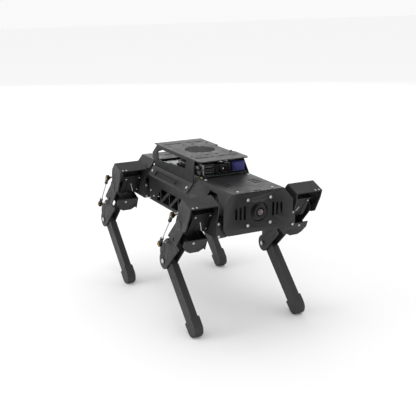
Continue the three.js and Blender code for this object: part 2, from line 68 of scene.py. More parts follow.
# ---------------------------------------------------------------- materials
class Shader:
    """A node material under construction, fed by object coordinates in metres."""

    def __init__(self, name, roughness=0.5, metallic=0.0, **sockets):
        self.material = bpy.data.materials.new(name)
        self.material.use_nodes = True
        self.tree = self.material.node_tree
        self.bsdf = self.tree.nodes["Principled BSDF"]
        self.place = self.add("ShaderNodeTexCoord").outputs["Object"]
        self.bsdf.inputs["Roughness"].default_value = roughness
        self.bsdf.inputs["Metallic"].default_value = metallic
        for socket, value in sockets.items():
            self.bsdf.inputs[socket.replace("_", " ")].default_value = value

    def add(self, kind, **values):
        node = self.tree.nodes.new(kind)
        for key, value in values.items():
            setattr(node, key, value)
        return node

    def link(self, output, target):
        self.tree.links.new(output, target)

    def noise(self, scale, detail=3.0, stretch=None):
        """Noise value; scale is in features per metre, stretch scales the three axes."""
        node = self.add("ShaderNodeTexNoise")
        node.inputs["Scale"].default_value = scale
        node.inputs["Detail"].default_value = detail
        source = self.place
        if stretch:
            mapping = self.add("ShaderNodeMapping")
            mapping.inputs["Scale"].default_value = stretch
            self.link(source, mapping.inputs["Vector"])
            source = mapping.outputs["Vector"]
        self.link(source, node.inputs["Vector"])
        return node.outputs["Fac"]

    def ramp(self, value, stops):
        """Colours or greys at places along a value between 0 and 1."""
        node = self.add("ShaderNodeValToRGB")
        elements = node.color_ramp.elements
        while len(elements) < len(stops):
            elements.new(0.5)
        for element, (place, colour) in zip(elements, stops):
            element.position = place
            element.color = (*colour, 1) if len(colour) == 3 else colour
        self.link(value, node.inputs["Fac"])
        return node.outputs["Color"]

    def between(self, value, low, high):
        """The value from 0.3..0.7 spread over low..high."""
        node = self.add("ShaderNodeMapRange")
        node.inputs["From Min"].default_value = 0.3
        node.inputs["From Max"].default_value = 0.7
        node.inputs["To Min"].default_value = low
        node.inputs["To Max"].default_value = high
        self.link(value, node.inputs["Value"])
        return node.outputs["Result"]

    def blend(self, factor, first, second):
        node = self.add("ShaderNodeMix", data_type="RGBA")
        self.link(factor, node.inputs["Factor"])
        for source, socket in ((first, node.inputs["A"]), (second, node.inputs["B"])):
            if isinstance(source, tuple):
                socket.default_value = (*source, 1)
            else:
                self.link(source, socket)
        return node.outputs["Result"]

    def edges(self, low=0.508, high=0.56):
        """1 along sharp outer edges, where the painted highlight goes, 0 on flat ground."""
        pointy = self.add("ShaderNodeNewGeometry").outputs["Pointiness"]
        node = self.add("ShaderNodeMapRange")
        node.inputs["From Min"].default_value = low
        node.inputs["From Max"].default_value = high
        self.link(pointy, node.inputs["Value"])
        return node.outputs["Result"]

    def colour(self, source):
        self.link(source, self.bsdf.inputs["Base Color"])

    def rough(self, source):
        self.link(source, self.bsdf.inputs["Roughness"])

    def bump(self, value, height):
        """Bump of that height in metres."""
        node = self.add("ShaderNodeBump")
        node.inputs["Strength"].default_value = 1.0
        node.inputs["Distance"].default_value = height
        self.link(value, node.inputs["Height"])
        self.link(node.outputs["Normal"], self.bsdf.inputs["Normal"])


def powder_coat(name, low, high, roughness=(0.42, 0.56)):
    """Satin black powder coat on folded sheet: fine orange peel, with a painted highlight that lightens the edges.
    """
    shader = Shader(name, Specular_IOR_Level=0.26)
    cloud = shader.noise(38, 4)
    base = shader.ramp(cloud, [(0.3, low), (0.7, high)])
    # painted highlight: the sharp edges and bends are painted lighter than the sheet
    edge_highlight = tuple(min(1, 5 * c) for c in high)
    shader.colour(shader.blend(shader.edges(), base, edge_highlight))
    shader.rough(shader.between(shader.noise(120, 5), *roughness))
    shader.bump(shader.noise(2600, 2), 0.00006)
    return shader.material


def moulded(name, low, high, roughness, grain=1800, height=0.00005, **sockets):
    """Moulded plastic or rubber with a spark-eroded grain."""
    shader = Shader(name, **sockets)
    shader.colour(shader.ramp(shader.noise(60, 3), [(0.3, low), (0.7, high)]))
    shader.rough(shader.between(shader.noise(240, 4), *roughness))
    shader.bump(shader.noise(grain, 3), height)
    return shader.material


def metal(name, low, high, roughness, stretch=(1, 1, 1), height=0.00002):
    """Plated or turned metal with fine tool marks along the stretched axes."""
    shader = Shader(name, metallic=1.0)
    marks = shader.noise(900, 4, stretch)
    shader.colour(shader.ramp(marks, [(0.3, low), (0.7, high)]))
    shader.rough(shader.between(shader.noise(300, 3), *roughness))
    shader.bump(marks, height)
    return shader.material


def glass_with_painted_reflection(name):
    """Dark camera glass with a small magenta reflection painted into its colour to one side."""
    shader = Shader(name, roughness=0.08, Coat_Weight=1.0, Coat_Roughness=0.03)
    # painted reflection: a magenta spot in the base colour, just beside the middle of the lens
    spot = shader.add("ShaderNodeTexGradient", gradient_type="SPHERICAL")
    mapping = shader.add("ShaderNodeMapping")
    centre, per_metre = (0.0013, -0.1868, 0.1826), 1 / 0.0034
    mapping.inputs["Scale"].default_value = (per_metre,) * 3
    mapping.inputs["Location"].default_value = tuple(-c * per_metre for c in centre)
    shader.link(shader.place, mapping.inputs["Vector"])
    shader.link(mapping.outputs["Vector"], spot.inputs["Vector"])
    painted_reflection = shader.ramp(spot.outputs["Fac"], [(0.1, (0.006, 0.006, 0.008)), (0.55, (0.10, 0.018, 0.032)),
                                             (0.9, (0.30, 0.08, 0.11))])
    dust = shader.noise(700, 5)
    shader.colour(shader.blend(shader.between(dust, 0, 0.12), painted_reflection, (0.05, 0.045, 0.05)))
    shader.rough(shader.between(dust, 0.05, 0.12))
    return shader.material


def circuit_board(name):
    """Dark solder mask with faint copper tracks under it."""
    shader = Shader(name, Coat_Weight=0.4, Coat_Roughness=0.2)
    tracks = shader.add("ShaderNodeTexBrick", offset=0.5)
    tracks.inputs["Scale"].default_value = 260
    tracks.inputs["Color1"].default_value = (0.006, 0.016, 0.012, 1)
    tracks.inputs["Color2"].default_value = (0.005, 0.012, 0.010, 1)
    tracks.inputs["Mortar"].default_value = (0.014, 0.034, 0.022, 1)
    tracks.inputs["Mortar Size"].default_value = 0.03
    shader.link(shader.place, tracks.inputs["Vector"])
    shader.colour(tracks.outputs["Color"])
    shader.rough(shader.between(shader.noise(500, 3), 0.35, 0.5))
    shader.bump(tracks.outputs["Fac"], 0.00004)
    return shader.material


MATERIALS = {
    "black_sheet": powder_coat("powder_coat", (0.004, 0.004, 0.0043), (0.0065, 0.0065, 0.0068)),
    "servo_plastic": moulded("servo_plastic", (0.0015, 0.0015, 0.0016), (0.003, 0.003, 0.0032), (0.32, 0.46),
                             Specular_IOR_Level=0.2),
    "rubber_foot": moulded("boot_rubber", (0.026, 0.026, 0.0265), (0.035, 0.035, 0.0355), (0.5, 0.7),
                           grain=1200, height=0.0001, Specular_IOR_Level=0.35),
    "steel_hardware": metal("zinc_steel", (0.42, 0.43, 0.44), (0.60, 0.61, 0.62), (0.22, 0.36)),
    "brass_ball": metal("turned_brass", (0.52, 0.38, 0.14), (0.72, 0.56, 0.24), (0.2, 0.32)),
    "camera_black": moulded("anodised_barrel", (0.004, 0.004, 0.0045), (0.007, 0.007, 0.0075), (0.25, 0.4),
                            Specular_IOR_Level=0.4),
    "lens_glass": glass_with_painted_reflection("lens_glass"),
    "circuit_board": circuit_board("solder_mask"),
    "port_metal": metal("nickel_shell_and_rim_highlight", (0.10, 0.10, 0.105), (0.20, 0.20, 0.21), (0.35, 0.55)),
    "blue_plastic": moulded("blue_connector", (0.022, 0.022, 0.13), (0.035, 0.035, 0.20), (0.3, 0.45)),
    "black_gloss": moulded("glossy_black", (0.003, 0.003, 0.0033), (0.005, 0.005, 0.0055), (0.16, 0.3),
                           Specular_IOR_Level=0.35),
    "white_mark": moulded("white_print_and_pin_highlight", (0.55, 0.55, 0.55), (0.72, 0.72, 0.72), (0.4, 0.6)),
}


# ---------------------------------------------------------------- drawing in millimetres
def arc(cx, cy, r, a0, a1, steps=12):
    """Points along an arc from angle a0 to a1, in degrees."""
    angles = [math.radians(a0 + (a1 - a0) * i / steps) for i in range(steps + 1)]
    return [(cx + r * math.cos(a), cy + r * math.sin(a)) for a in angles]


def rounded_rect(cx, cy, width, height, r, steps=4):
    corners = ((1, 1, 0), (-1, 1, 90), (-1, -1, 180), (1, -1, 270))
    points = []
    for sx, sy, start in corners:
        x, y = cx + sx * (width / 2 - r), cy + sy * (height / 2 - r)
        points += arc(x, y, r, start, start + 90, steps)
    return points


def facing(direction, up=AXIS_Z):
    """Rotation whose local Z is direction, and whose local Y is as near up as it can be."""
    z = Vector(direction).normalized()
    if abs(z.dot(up)) > 0.99:
        up = AXIS_Y
    x = up.cross(z).normalized()
    return Matrix((x, z.cross(x), z)).transposed().to_4x4()


def at(point, direction=AXIS_Z, up=AXIS_Z):
    return Matrix.Translation(Vector(point)) @ facing(direction, up)


def strip(mesh, loops, close_start=True, close_end=True):
    """Joins closed loops of equal length into a tube, with its ends filled."""
    rings = [[mesh.verts.new(point) for point in loop] for loop in loops]
    count = len(rings[0])
    for low, high in zip(rings, rings[1:]):
        for i in range(count):
            j = (i + 1) % count
            mesh.faces.new((low[i], low[j], high[j], high[i]))
    if close_start:
        mesh.faces.new(rings[0][::-1])
    if close_end:
        mesh.faces.new(rings[-1])


def lathe(mesh, profile, where, steps=32):
    """Turns a profile of (radius, height) about the local Z of a placing matrix."""
    loops = []
    for r, h in profile:
        loops.append([where @ Vector((x, y, h)) for x, y in arc(0, 0, r, 0, 360, steps)[:-1]])
    strip(mesh, loops)


def slab(mesh, outline, low, high, where=None, chamfer=0.0):
    """A plate of a counter-clockwise outline between two heights, with its rim chamfered."""
    where = where or Matrix.Identity(4)
    inner = inset(outline, chamfer) if chamfer else outline
    levels = [(inner, low), (outline, low + chamfer), (outline, high - chamfer), (inner, high)]
    if not chamfer:
        levels = [levels[0], levels[-1]]
    strip(mesh, [[where @ Vector((x, y, h)) for x, y in points] for points, h in levels])


def inset(outline, distance):
    """The outline moved inwards by a distance, for a counter-clockwise outline."""
    moved = []
    count = len(outline)
    for i in range(count):
        before, here, after = (Vector(outline[(i + k) % count]) for k in (-1, 0, 1))
        first, second = (here - before).normalized(), (after - here).normalized()
        normal = Vector((-first.y - second.y, first.x + second.x))
        if normal.length < 1e-6:
            normal = Vector((-first.y, first.x))
        normal.normalize()
        cosine = max(0.35, normal.dot(Vector((-first.y, first.x))))
        point = here + normal * (distance / cosine)
        moved.append((point.x, point.y))
    return moved


def hexagon_radius(angle, across):
    """Distance to the side of a hexagon of that width across flats."""
    turned = (angle + math.pi / 6) % (math.pi / 3) - math.pi / 6
    return across / 2 / math.cos(turned)


def screw(mesh, point, direction, r=2.6, height=1.5, socket=2.0):
    """A button-head screw with a hexagon socket."""
    where = at(point, direction)
    steps = 24
    angles = [2 * math.pi * i / steps for i in range(steps)]
    dome = [(1.0, 0), (1.0, 0.18), (0.93, 0.5), (0.78, 0.8), (0.6, 0.96)]
    loops = []
    for radius, rise in dome:
        loops.append([(r * radius * math.cos(a), r * radius * math.sin(a), height * rise)
                      for a in angles])
    for scale, rise in ((1.08, 1.0), (1.0, 0.93), (1.0, 0.3)):
        loops.append([(hexagon_radius(a, socket) * scale * math.cos(a),
                       hexagon_radius(a, socket) * scale * math.sin(a), height * rise)
                      for a in angles])
    strip(mesh, [[where @ Vector(p) for p in loop] for loop in loops])


def pan_screw(mesh, point, direction, r=1.5, height=0.8):
    """A small cross-head screw."""
    where = at(point, direction)
    lathe(mesh, [(r, 0), (r, height * 0.5), (r * 0.8, height * 0.92), (r * 0.45, height)], where, 20)
    for turn in (0, 90):
        bar = where @ Matrix.Rotation(math.radians(turn), 4, "Z")
        slab(mesh, rounded_rect(0, 0, r * 1.1, r * 0.26, r * 0.1, 2), height - 0.02, height + 0.12, bar)


def hex_nut(mesh, point, direction, across=5.5, height=2.2):
    where = at(point, direction)
    steps = 24
    angles = [2 * math.pi * i / steps for i in range(steps)]
    round_r = across / 2 * 1.04

    def loop(level, fraction):
        points = []
        for a in angles:
            r = min(hexagon_radius(a, across), across / 2 + fraction * across * 0.08)
            points.append(where @ Vector((r * math.cos(a), r * math.sin(a), level)))
        return points

    rim = [where @ Vector((round_r * 0.55 * math.cos(a), round_r * 0.55 * math.sin(a), height))
           for a in angles]
    strip(mesh, [loop(0, 0.2), loop(height * 0.12, 1), loop(height * 0.88, 1), loop(height, 0.2), rim])


def piece(name, mesh, body, slot, replaces=()):
    """Turns a drawing in millimetres into a piece of the object."""
    bmesh.ops.recalc_face_normals(mesh, faces=mesh.faces)
    mesh.transform(Matrix.Scale(MM, 4))
    data = bpy.data.meshes.new(name)
    mesh.to_mesh(data)
    mesh.free()
    thing = bpy.data.objects.new(name, data)
    bpy.context.scene.collection.objects.link(thing)
    data.materials.append(MATERIALS[slot])
    smooth(thing, 32)
    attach(thing, body)
    if replaces:
        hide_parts(*replaces)
    return thing


def smooth(thing, angle):
    """Smooth shading that keeps edges sharper than the angle."""
    for polygon in thing.data.polygons:
        polygon.use_smooth = True
    thing.data.set_sharp_from_angle(angle=math.radians(angle))


def soften(thing, width):
    """Rounds the sharp edges of a thing, without changing its own mesh."""
    modifier = thing.modifiers.new("edge_radius", "BEVEL")
    modifier.width = width * MM
    modifier.segments = 2
    modifier.limit_method = "ANGLE"
    modifier.angle_limit = math.radians(34)
    modifier.harden_normals = False
    modifier.use_clamp_overlap = True


# ---------------------------------------------------------------- CAD nodes that stay
def keep_cad_node(node, slot, radius):
    """Gives a CAD node its material, and rounds its edges by modifiers."""
    thing = frame["nodes"][node]
    thing.data.materials.clear()
    thing.data.materials.append(MATERIALS[slot])
    weld = thing.modifiers.new("weld", "WELD")
    weld.merge_threshold = 0.00001
    flatten = thing.modifiers.new("flat_faces", "DECIMATE")
    flatten.decimate_type = "DISSOLVE"
    flatten.angle_limit = math.radians(1.0)
    soften(thing, radius)
    shade = thing.modifiers.new("flat_shading", "WEIGHTED_NORMAL")
    shade.keep_sharp = True


def dress_cad_nodes():
    for row in frame["record"]["subparts"]:
        slot = row["material_slot"]
        keep_cad_node(row["node"], slot, 0.35 if slot == "black_sheet" else 0.25)


# ---------------------------------------------------------------- placing on the robot
MIDDLE_Y = -40.4                     # middle of the wheelbase, from which the torso is drawn
ALONG_X = Matrix(((0, 0, 1, 0), (1, 0, 0, 0), (0, 1, 0, 0), (0, 0, 0, 1)))
ALONG_Y = Matrix(((1, 0, 0, 0), (0, 0, -1, 0), (0, 1, 0, 0), (0, 0, 0, 1)))


def torso_piece(name, draw, slot, replaces=()):
    mesh = bmesh.new()
    draw(mesh)
    mesh.transform(Matrix.Translation((0, MIDDLE_Y, 0)))
    piece(name, mesh, "torso", slot, replaces)


def leg_piece(name, draw, body, slot, replaces=()):
    """A piece of every leg, drawn for a left leg from its hip pitch axis."""
    for corner in CORNERS:
        mesh = bmesh.new()
        draw(mesh)
        _, hip_y, hip_z = JOINTS[corner + "_hip_pitch"]["pos_m"]
        side = 1 if corner.endswith("left") else -1
        mesh.transform(Matrix.Translation((0, hip_y / MM, hip_z / MM)) @ Matrix.Diagonal((side, 1, 1, 1)))
        nodes = [corner + "_" + node for node in replaces]
        owner = "torso" if body == "torso" else corner + "_" + body
        piece(corner + "_" + name, mesh, owner, slot, nodes)


def from_hip(joint):
    """(y, z) of a joint of the front left leg, from its hip pitch axis."""
    here, hip = (JOINTS["front_left_" + name]["pos_m"] for name in (joint, "hip_pitch"))
    return ((here[1] - hip[1]) / MM, (here[2] - hip[2]) / MM)


KNEE = from_hip("knee")
KNEE_SERVO = from_hip("knee_crank_turn")
UPPER_BALL = from_hip("rod_swing")
LOWER_BALL = tuple(k + u - s for k, u, s in zip(KNEE, UPPER_BALL, KNEE_SERVO))
ROLL_AXIS = (52.5, -6)
UPPER_BALL_X, LOWER_BALL_X = 110, 104.7
DIAGONAL = math.sqrt(0.5)


def on_thigh(s, n):
    """(y, z) of a point s up the thigh from the knee and n to the rear of that line."""
    return (KNEE[0] + (n - s) * DIAGONAL, KNEE[1] + (n + s) * DIAGONAL)


# ---------------------------------------------------------------- nose and covers
CAMERA_Z = 181.8


def camera_barrel(mesh):
    where = at((0, -147, CAMERA_Z), (0, -1, 0))
    lathe(mesh, [(9.9, -6.4), (9.9, -3.4), (9.3, -3.1), (9.3, -2.5), (9.9, -2.2), (9.9, -0.7), (9.4, -0.15),
                 (8.5, -0.1), (8.2, -0.5), (8.2, -1.1), (7.3, -1.1), (7.1, -0.5), (6.6, -0.4), (6.3, -0.8),
                 (5.3, -2.2), (0.2, -2.3)], where, 64)


def camera_plate(mesh):
    where = at((0, -140.6, CAMERA_Z), (0, -1, 0))
    lathe(mesh, [(12.9, -2.6), (12.9, 0), (12.5, 0.35), (10.2, 0.35)], where, 64)
    slab(mesh, rounded_rect(0, CAMERA_Z, 28.8, 28.8, 1.5), 135.7, 138, ALONG_Y)


def camera_glass(mesh):
    where = at((0, -147, CAMERA_Z), (0, -1, 0))
    dome = [(6.1 * math.sin(a), -2.1 + 1.5 * math.cos(a)) for a in (math.pi / 2 * k / 8 for k in range(9))]
    lathe(mesh, [(6.1, -2.4)] + dome[::-1][:-1] + [(0.15, -0.6)], where, 48)


def camera_rings(mesh):
    where = at((0, -147, CAMERA_Z), (0, -1, 0))
    lathe(mesh, [(7.9, -1.15), (7.9, -0.75), (7.5, -0.75), (7.5, -1.15)], where, 64)


def front_screws(mesh):
    for x in (-18.4, 18.4):
        for z in (163.8, 200.6):
            screw(mesh, (x, -142.35, z), (0, -1, 0), 2.5, 1.5, 2.2)


def rear_screws(mesh):
    for x in (-18.4, 18.4):
        for z in (163.8, 200.6):
            screw(mesh, (x, 153.3, z), (0, 1, 0), 2.7, 0.6, 2.2)


def on_chamfer(side, down, out):
    """A point on the slope between the top and a side of the torso, out from its surface."""
    return (side * (42 + 0.640 * down + 0.768 * out), 211 - 0.768 * down + 0.640 * out)


def cover_screws(mesh):
    for side in (-1, 1):
        for x, y in ((28.5, -131), (36, -52)):
            screw(mesh, (side * x, y, 211), AXIS_Z, 2.2, 1.2, 1.9)
        screw(mesh, (side * 30, 112, 211), AXIS_Z, 2.2, 1.2, 1.9)
        screw(mesh, (side * 30, 146, 211), AXIS_Z, 2.2, 1.2, 1.9)
        for y in (-29, 91):
            x, z = on_chamfer(side, 19.6, 1.9)
            screw(mesh, (x, y, z), (side * 0.768, 0, 0.640), 2.4, 1.3, 2)
        for y, z in ((96, 164), (85, 157), (99, 151)):
            screw(mesh, (side * 57, y, z), (side, 0, 0), 1.8, 0.9, 1.5)


def belly_screws(mesh):
    for side in (-1, 1):
        for x, y in ((32, -115), (49, -74), (49, 12), (49, 92), (32, 145)):
            screw(mesh, (side * x, y, 149.2), (0, 0, -1), 2.5, 1.1)


def rack_slot_shade_strip(mesh):
    """Dark strip behind the long slots in the feet of the rack, painted shade seen through the slots, with one
    raised tab.
    """
    for side in (-1, 1):
        normal = (side * 0.768, 0, 0.640)
        # painted shade: a darker plastic strip under each slot
        for y, down, length, width, height in ((36, 20.75, 79.6, 6.1, 0.35), (12, 20.75, 9, 4, 1.2)):
            x, z = on_chamfer(side, down, 0.42)
            slab(mesh, rounded_rect(0, 0, width, length, 1), 0, height, at((x, y, z), normal, AXIS_Y), 0.1)


# ---------------------------------------------------------------- electronics
BOARD_TOP = 214.75


def connector_blocks(mesh):
    """Two stacked sockets, with their openings towards the nose."""
    for low, high in ((215.1, 223.3), (223.7, 231.8)):
        shell = rounded_rect(-27, (low + high) / 2, 17.6, high - low - 0.3, 0.8)
        hollow = inset(shell, 0.9)
        ring = [[Vector((x, y, z)) for x, z in points] for points, y in
                ((shell, -27), (shell, -44.8), (inset(shell, 0.3), -45.3), (hollow, -45.3), (hollow, -34))]
        strip(mesh, ring)
    for low in (217, 225.6):
        slab(mesh, rounded_rect(-27, low + 2.6, 12.4, 1.8, 0.4), 36, 44.4, ALONG_Y)


def side_connectors(mesh):
    """Two small sockets beside the metal block."""
    for y, z, w, h, d in ((-40, 219, 7, 6, 9), (-38, 226.5, 5, 5, 7)):
        slab(mesh, rounded_rect(-42.5 + w / 2, z, w * 0.5, h, 0.6), -y - d, -y, ALONG_Y, 0.3)


def black_socket(mesh):
    """Square socket with a round mouth."""
    back = ALONG_Y
    slab(mesh, rounded_rect(-2.5, 222.6, 25.4, 15.6, 1.2), 32, 43.2, back, 0.5)
    for x in (-13.2, 8.2):
        slab(mesh, rounded_rect(x, 222.6, 3.6, 13.4, 0.6), 43, 44.6, back, 0.3)
    for z in (216.2, 229):
        slab(mesh, rounded_rect(-2.5, z, 17, 2, 0.5), 43, 44.4, back, 0.3)
    where = at((-2.5, -43.2, 223.2), (0, -1, 0))
    mouth = [(5.9, -0.5), (5.9, 1.4), (5.2, 1.9), (4.4, 1.9), (4.2, 0.2), (1.3, 0.2), (1.1, 0)]
    lathe(mesh, mouth, where, 36)


def socket_pin(mesh):
    # painted highlight: the metal pin is given the white print colour so its tip reads as a bright spot
    where = at((-2.5, -43.2, 223.2), (0, -1, 0))
    lathe(mesh, [(0.95, -0.2), (0.95, 1.5), (0.6, 1.9), (0.1, 1.95)], where, 20)


def blue_connector(mesh):
    """D-shaped socket: a rounded face with a raised rim, on a stepped body."""
    back = ALONG_Y
    slab(mesh, rounded_rect(25, 222.9, 21.6, 15.6, 2.5), 29, 41.4, back, 0.6)
    slab(mesh, rounded_rect(25, 223.2, 18.6, 13.2, 4.2), 41.2, 44, back, 0.5)
    slab(mesh, rounded_rect(25, 223.2, 13.2, 7.6, 3), 43.8, 45.2, back, 0.3)
    for x in (16.6, 33.4):
        slab(mesh, rounded_rect(x, 217, 2.4, 3, 0.6), 41.2, 43, back, 0.3)


def board_base(mesh):
    slab(mesh, rounded_rect(0, -37.2, 73.6, 12, 0.8), 215.1, 216.8, None, 0.3)


PIN_PITCH = 2.54
CHIPS = ((-27, -12, 14, 14), (24, -10, 12, 9), (-30, 40, 9, 13), (30, 44, 8, 8),
         (-8, -15, 8, 10), (10, -16, 5, 7))


def board_chips(mesh):
    for x, y, w, d in CHIPS:
        slab(mesh, rounded_rect(x, y, w, d, 0.5), BOARD_TOP - 0.1, BOARD_TOP + 1.5, None, 0.25)
    for row in (0, PIN_PITCH):
        for i in range(16):
            socket = rounded_rect(-34.5 + row, 2 + PIN_PITCH * i, 2.3, 2.3, 0.3)
            slab(mesh, socket, BOARD_TOP - 0.1, BOARD_TOP + 2.5)


def board_metal(mesh):
    """Header pins, capacitor cans and chip legs."""
    for row in (0, PIN_PITCH):
        for i in range(16):
            pin = rounded_rect(-34.5 + row, 2 + PIN_PITCH * i, 0.64, 0.64, 0.1)
            slab(mesh, pin, BOARD_TOP + 2.3, BOARD_TOP + 8.4)
    cans = ((17, 0, 3.2, 7), (30, 6, 3.2, 7), (-12, -28, 2.6, 6), (31, 30, 2.4, 5.4), (-20, -27, 2, 4))
    for x, y, r, h in cans:
        lathe(mesh, [(r, 0), (r, 0.8), (r * 0.93, 1.1), (r, 1.4), (r, h - 0.5), (r * 0.9, h), (0.1, h)],
              at((x, y, BOARD_TOP)), 24)
    for x, y, w, d in CHIPS[:3]:
        for i in range(5):
            for side in (-1, 1):
                slab(mesh, rounded_rect(x + side * (w / 2 + 0.5), y + (i - 2) * d / 6, 1.2, 0.7, 0.1),
                     BOARD_TOP - 0.05, BOARD_TOP + 0.5)


def spacers(mesh):
    """Hexagonal pillars between the middle plate and the boards above it."""
    steps = 6
    for x, y, top in ((-34, -38, 213.1), (32, -38, 213.1), (-34, 56, 213.1), (32, 56, 213.1), (-33, 70, 203),
                      (1, 70, 203), (-33, 98, 203), (1, 98, 203)):
        slab(mesh, arc(x, y, 2.9, 0, 360, steps)[:-1], 199.1, top, None, 0.3)


def power_board(mesh):
    slab(mesh, rounded_rect(-16, 84, 42, 36, 2), 203.1, 204.6, None, 0.3)


def heat_sink(mesh):
    """Bright plate with low fins behind the fan."""
    slab(mesh, rounded_rect(-16, 84, 40, 34, 1), 204.7, 207, None, 0.3)
    for i in range(11):
        slab(mesh, rounded_rect(-16, 69.5 + i * 2.9, 38.5, 1.6, 0.3), 206.9, 208.2, None, 0.2)


FAN_Y = 34.6                         # fan centre, from the middle of the wheelbase


def fan_frame(mesh):
    """Square frame round a circular duct."""
    steps = 64
    square, duct = [], []
    for i in range(steps):
        a = 2 * math.pi * (i + 0.5) / steps
        reach = 22.8 / max(abs(math.cos(a)), abs(math.sin(a)))
        reach = min(reach, 30.4)
        square.append((reach * math.cos(a), FAN_Y + reach * math.sin(a)))
        duct.append((21.2 * math.cos(a), FAN_Y + 21.2 * math.sin(a)))
    waist = inset(square, 1.6)
    loops = [(duct, 217), (square, 217), (square, 220), (waist, 220.4), (waist, 229.2), (square, 229.6),
             (square, 232.4), (inset(square, 0.5), 232.9), (inset(duct, -0.6), 232.9), (duct, 232.3),
             (duct, 217)]
    strip(mesh, [[Vector((x, y, z)) for x, y in points] for points, z in loops], False, False)


def fan_rotor(mesh):
    lathe(mesh, [(9, 219), (9, 230.6), (8.4, 231.2), (6.4, 231.4), (6.2, 230.9), (0.2, 230.9)],
          Matrix.Translation((0, FAN_Y, 0)), 40)
    for blade in range(7):
        turn = Matrix.Translation((0, FAN_Y, 0)) @ Matrix.Rotation(2 * math.pi * blade / 7, 4, "Z")
        fan_blade(mesh, turn)


def fan_blade(mesh, turn):
    """A swept blade: four sections from the hub to the tip."""
    loops = []
    sections = ((8.6, 0, 46, 222, 229), (13, 8, 38, 222.4, 228.6), (17, 17, 33, 223, 228.4),
                (20.4, 27, 30, 223.6, 228.2))
    for r, sweep, width, low, high in sections:
        a0, a1 = math.radians(sweep), math.radians(sweep + width)
        corners = ((a0, high + 0.4), (a0, high - 0.6), (a1, low - 0.4), (a1, low + 0.6))
        loops.append([turn @ Vector((r * math.cos(a), r * math.sin(a), z)) for a, z in corners])
    strip(mesh, loops)


def fan_mounts(mesh):
    for x, y in ((-19.4, 15.2), (19.4, 15.2), (-19.4, 54), (19.4, 54)):
        screw(mesh, (x, y, 232.2), AXIS_Z, 2.1, 0.7, 1.6)


def bulkhead(mesh):
    """Cross plates inside the torso, each beside a pair of roll servos."""
    for y in (-83, 99.5):
        points = [(-53, 151), (53, 151), (53, 190), (40, 196.8), (-40, 196.8), (-53, 190)]
        slab(mesh, points, -y - 1.5, -y, ALONG_Y, 0.2)


def servo_brackets(mesh):
    """Upright plates over the roll servos, with a folded top edge."""
    for side in (-1, 1):
        for y in (-111, 129):
            slab(mesh, rounded_rect(y, 184.5, 40, 25, 2), side * 40.6 - 0.7, side * 40.6 + 0.7, ALONG_X, 0.15)
            slab(mesh, rounded_rect(side * 37.5, y, 6.4, 34, 1), 171.6, 173, None, 0.15)


def torso_details():
    torso_piece("camera_barrel", camera_barrel, "camera_black", ["camera_module"])
    torso_piece("camera_plate", camera_plate, "camera_black")
    torso_piece("camera_glass", camera_glass, "lens_glass")
    torso_piece("camera_rings", camera_rings, "black_gloss")
    torso_piece("front_screws", front_screws, "steel_hardware")
    torso_piece("rear_screws", rear_screws, "steel_hardware")
    torso_piece("cover_screws", cover_screws, "steel_hardware")
    torso_piece("belly_screws", belly_screws, "steel_hardware")
    torso_piece("slot_shade_strip", rack_slot_shade_strip, "servo_plastic")
    torso_piece("usb_shells", connector_blocks, "port_metal", ["port_blocks"])
    torso_piece("side_sockets", side_connectors, "port_metal")
    torso_piece("black_socket", black_socket, "black_gloss")
    # the white socket pin is a painted highlight
    torso_piece("socket_pin", socket_pin, "white_mark")
    torso_piece("blue_socket", blue_connector, "blue_plastic")
    torso_piece("socket_base", board_base, "servo_plastic")
    torso_piece("chips", board_chips, "servo_plastic")
    torso_piece("board_metal", board_metal, "port_metal")
    torso_piece("spacers", spacers, "brass_ball")
    torso_piece("power_board", power_board, "circuit_board")
    torso_piece("heat_sink", heat_sink, "steel_hardware")
    torso_piece("fan_frame", fan_frame, "servo_plastic", ["cooling_fan"])
    torso_piece("fan_rotor", fan_rotor, "servo_plastic")
    torso_piece("fan_screws", fan_mounts, "steel_hardware")
    torso_piece("bulkheads", bulkhead, "black_sheet")
    torso_piece("servo_brackets", servo_brackets, "black_sheet")


# ---------------------------------------------------------------- servos
PITCH_DIRECTION = (-0.54, 0.8417)
KNEE_DIRECTION = (-0.92, -0.3919)
SERVO_HALF, SERVO_REACH = 10, 30


def servo_point(axis, direction, reach, side):
    """(y, z) of a point of a servo: reach along its case from the shaft, side square to that."""
    (cy, cz), (dy, dz) = axis, direction
    return (cy + reach * dy - side * dz, cz + reach * dz + side * dy)


def servo_outline(axis, direction, shrink=0.0):
    half, far, bevel = SERVO_HALF - shrink, SERVO_REACH - shrink, 2.5
    corners = ((far, -half), (far, half), (bevel - half, half), (-half, half - bevel), (-half, bevel - half),
               (bevel - half, -half))
    return [servo_point(axis, direction, reach, side) for reach, side in corners]


def servo_case(mesh, axis, direction, x0, x1):
    """A case in three shells, with the joints between them as grooves."""
    cuts = [x0, x0 + 6.5, x1 - 8, x1]
    for i, (low, high) in enumerate(zip(cuts, cuts[1:])):
        shell = servo_outline(axis, direction, 0.25 if i == 1 else 0.05)
        slab(mesh, shell, low + 0.05, high - 0.05, ALONG_X, 0.5)
    for level in cuts[1:3]:
        slab(mesh, servo_outline(axis, direction, 0.8), level - 0.6, level + 0.6, ALONG_X)
    for reach in (8, 13, 18, 23):
        for side in (-1, 1):
            y, z = servo_point(axis, direction, reach, side * (SERVO_HALF - 0.5))
            normal = (0, -side * direction[1], side * direction[0])
            slab(mesh, rounded_rect(0, 0, 1.2, 12, 0.5), 0, 0.36,
                 at(((x0 + x1) / 2, y, z), normal, Vector((1, 0, 0))), 0.1)


def pitch_servo_case(mesh):
    servo_case(mesh, (0, 0), PITCH_DIRECTION, 65.4, 96.7)
    lathe(mesh, [(7.9, 95), (7.9, 98.6), (7.5, 99), (6.2, 99), (6.2, 103)], ALONG_X, 48)


def knee_servo_case(mesh):
    servo_case(mesh, KNEE_SERVO, KNEE_DIRECTION, 68.9, 96.7)


